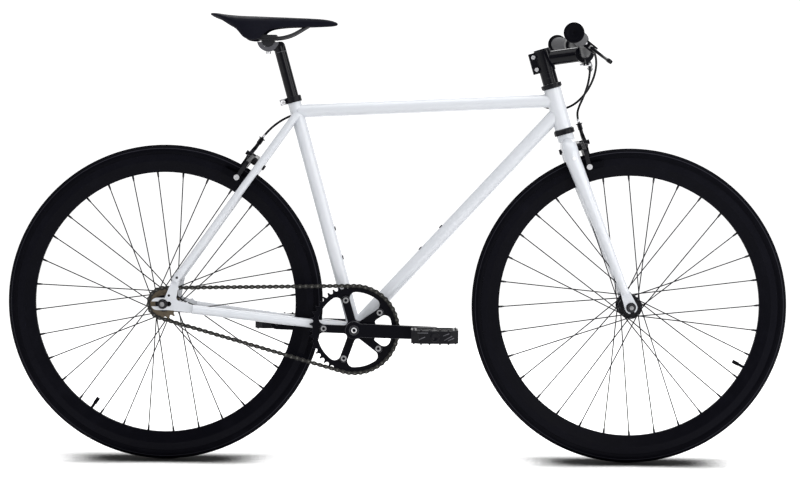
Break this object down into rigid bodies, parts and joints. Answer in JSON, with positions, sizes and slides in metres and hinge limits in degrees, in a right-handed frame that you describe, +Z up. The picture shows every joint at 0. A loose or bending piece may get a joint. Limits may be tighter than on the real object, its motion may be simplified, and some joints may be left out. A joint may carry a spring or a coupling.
{
  "type": "fixed gear bicycle",
  "caption": "Fixed gear bicycle with a diamond frame, deep rims, riser bar, rim brakes, single chain drive and platform pedals.",
  "frame": {"origin": "on the ground, midway between the wheel axles", "axes": "+X forward, +Y to the rider's left, +Z up; the chain runs on the -Y side"},
  "size_m": [1.6635, 0.5724, 0.9534],
  "materials": {
    "white_paint": "gloss",
    "black_metal": "satin",
    "black_steel": "satin",
    "bright_steel": "satin",
    "chain_steel": "satin",
    "bronze_steel": "satin",
    "tyre_rubber": "matte",
    "tube_air": "matte",
    "grip_rubber": "matte",
    "black_plastic": "satin",
    "cable_housing": "satin",
    "saddle_cover": "satin"
  },
  "bodies": {
    "frame": {"head_tube": "white_paint", "top_tube": "white_paint", "down_tube": "white_paint", "seat_tube": "white_paint", "bottom_bracket_shell": "white_paint", "seat_stays": "white_paint", "chain_stays": "white_paint", "rear_dropouts": "white_paint", "stay_bridges": "white_paint", "bottle_bosses": "black_steel", "cable_guides": "white_paint", "headset_cups": "black_metal", "seat_clamp": "black_metal", "bottom_bracket_cartridge": "black_steel", "rear_axle": "black_steel", "rear_brake_bracket": "black_metal", "rear_brake_cable": "cable_housing", "chain": "chain_steel"},
    "fork": {"fork_steerer": "white_paint", "fork_blades": "white_paint", "headset_spacers": "black_metal", "stem": "black_metal", "stem_faceplate": "black_metal", "stem_bolts": "bright_steel", "handlebar": "black_metal", "grips": "grip_rubber", "brake_lever_brackets": "black_metal", "front_axle": "black_steel", "front_brake_bracket": "black_metal", "front_brake_cable": "cable_housing", "rear_brake_cable_loop": "cable_housing"},
    "front_wheel": {"front_tyre": "tyre_rubber", "front_inner_tube": "tube_air", "front_rim": "black_metal", "front_spokes": "black_steel", "front_hub": "black_metal"},
    "rear_wheel": {"rear_tyre": "tyre_rubber", "rear_inner_tube": "tube_air", "rear_rim": "black_metal", "rear_spokes": "black_steel", "rear_hub": "black_metal", "rear_cog": "bronze_steel"},
    "crankset": {"crank_arm_right": "black_metal", "crank_arm_left": "black_metal", "chainring": "black_metal", "crank_spindle": "black_steel", "crank_bolts": "bright_steel", "pedal_axles": "black_steel"},
    "pedal_right": {"pedal_right": "black_plastic"},
    "pedal_left": {"pedal_left": "black_plastic"},
    "brake_lever_right": {"brake_lever_right": "black_metal"},
    "brake_lever_left": {"brake_lever_left": "black_metal"},
    "front_caliper_right": {"front_caliper_right": "black_metal"},
    "front_caliper_left": {"front_caliper_left": "black_metal"},
    "rear_caliper_right": {"rear_caliper_right": "black_metal"},
    "rear_caliper_left": {"rear_caliper_left": "black_metal"},
    "seatpost": {"seatpost": "black_metal"},
    "saddle": {"saddle_clamp": "black_steel", "saddle_rails": "black_steel", "saddle": "saddle_cover"}
  },
  "joints": [
    {"name": "steering", "type": "hinge", "parent": "frame", "child": "fork", "pos_m": [0.35137, 0, 0.71362], "axis": [-0.279, 0, 0.9603], "range_deg": [-60, 60], "deforming": ["rear_brake_cable_loop"]},
    {"name": "front_wheel_spin", "type": "hinge", "parent": "fork", "child": "front_wheel", "pos_m": [0.4953, 0, 0.3365], "axis": [0, 1, 0], "continuous": true},
    {"name": "rear_wheel_spin", "type": "hinge", "parent": "frame", "child": "rear_wheel", "pos_m": [-0.4953, 0, 0.3365], "axis": [0, 1, 0], "continuous": true, "deforming": ["chain"]},
    {"name": "crank_spin", "type": "hinge", "parent": "frame", "child": "crankset", "pos_m": [-0.09046, 0, 0.284], "axis": [0, 1, 0], "continuous": true, "deforming": ["chain"]},
    {"name": "pedal_right_spin", "type": "hinge", "parent": "crankset", "child": "pedal_right", "pos_m": [0.07946, 0, 0.27896], "axis": [0, 1, 0], "continuous": true},
    {"name": "pedal_left_spin", "type": "hinge", "parent": "crankset", "child": "pedal_left", "pos_m": [-0.26039, 0, 0.28904], "axis": [0, 1, 0], "continuous": true},
    {"name": "lever_left_pull", "type": "hinge", "parent": "fork", "child": "brake_lever_left", "pos_m": [0.40119, 0.14849, 0.87819], "axis": [0.6145, 0.0624, 0.7865], "range_deg": [0, 18], "stiffness_Nm_per_rad": 0.8},
    {"name": "lever_right_pull", "type": "hinge", "parent": "fork", "child": "brake_lever_right", "pos_m": [0.40119, -0.14849, 0.87819], "axis": [-0.6145, 0.0624, -0.7865], "range_deg": [0, 18], "stiffness_Nm_per_rad": 0.8},
    {"name": "front_caliper_right_close", "type": "hinge", "parent": "fork", "child": "front_caliper_right", "pos_m": [0.38061, 0, 0.6739], "axis": [0.9603, 0, 0.279], "range_deg": [0, 2.7], "deforming": ["front_brake_cable"]},
    {"name": "front_caliper_left_close", "type": "hinge", "parent": "fork", "child": "front_caliper_left", "pos_m": [0.37922, 0.025, 0.6787], "axis": [-0.9603, 0, -0.279], "range_deg": [0, 2.5], "deforming": ["front_brake_cable"]},
    {"name": "rear_caliper_right_close", "type": "hinge", "parent": "frame", "child": "rear_caliper_right", "pos_m": [-0.30421, 0, 0.63702], "axis": [0.8134, 0, -0.5817], "range_deg": [0, 2.5], "deforming": ["rear_brake_cable"]},
    {"name": "rear_caliper_left_close", "type": "hinge", "parent": "frame", "child": "rear_caliper_left", "pos_m": [-0.3013, 0.025, 0.64109], "axis": [-0.8134, 0, 0.5817], "range_deg": [0, 2.3], "deforming": ["rear_brake_cable"]},
    {"name": "seatpost_slide", "type": "slide", "parent": "frame", "child": "seatpost", "axis": [-0.2656, 0, 0.9641], "range_m": [-0.07, 0.05]},
    {"name": "saddle_tilt", "type": "hinge", "parent": "seatpost", "child": "saddle", "pos_m": [-0.27914, 0, 0.89667], "axis": [0, 1, 0], "range_deg": [-8, 8]}
  ],
  "couplings": [
    {"joint": "crank_spin", "follows": "rear_wheel_spin", "ratio": 0.34783},
    {"joint": "front_caliper_right_close", "follows": "lever_left_pull", "ratio": 0.15},
    {"joint": "front_caliper_left_close", "follows": "lever_left_pull", "ratio": 0.13889},
    {"joint": "rear_caliper_right_close", "follows": "lever_right_pull", "ratio": 0.13889},
    {"joint": "rear_caliper_left_close", "follows": "lever_right_pull", "ratio": 0.12778}
  ]
}
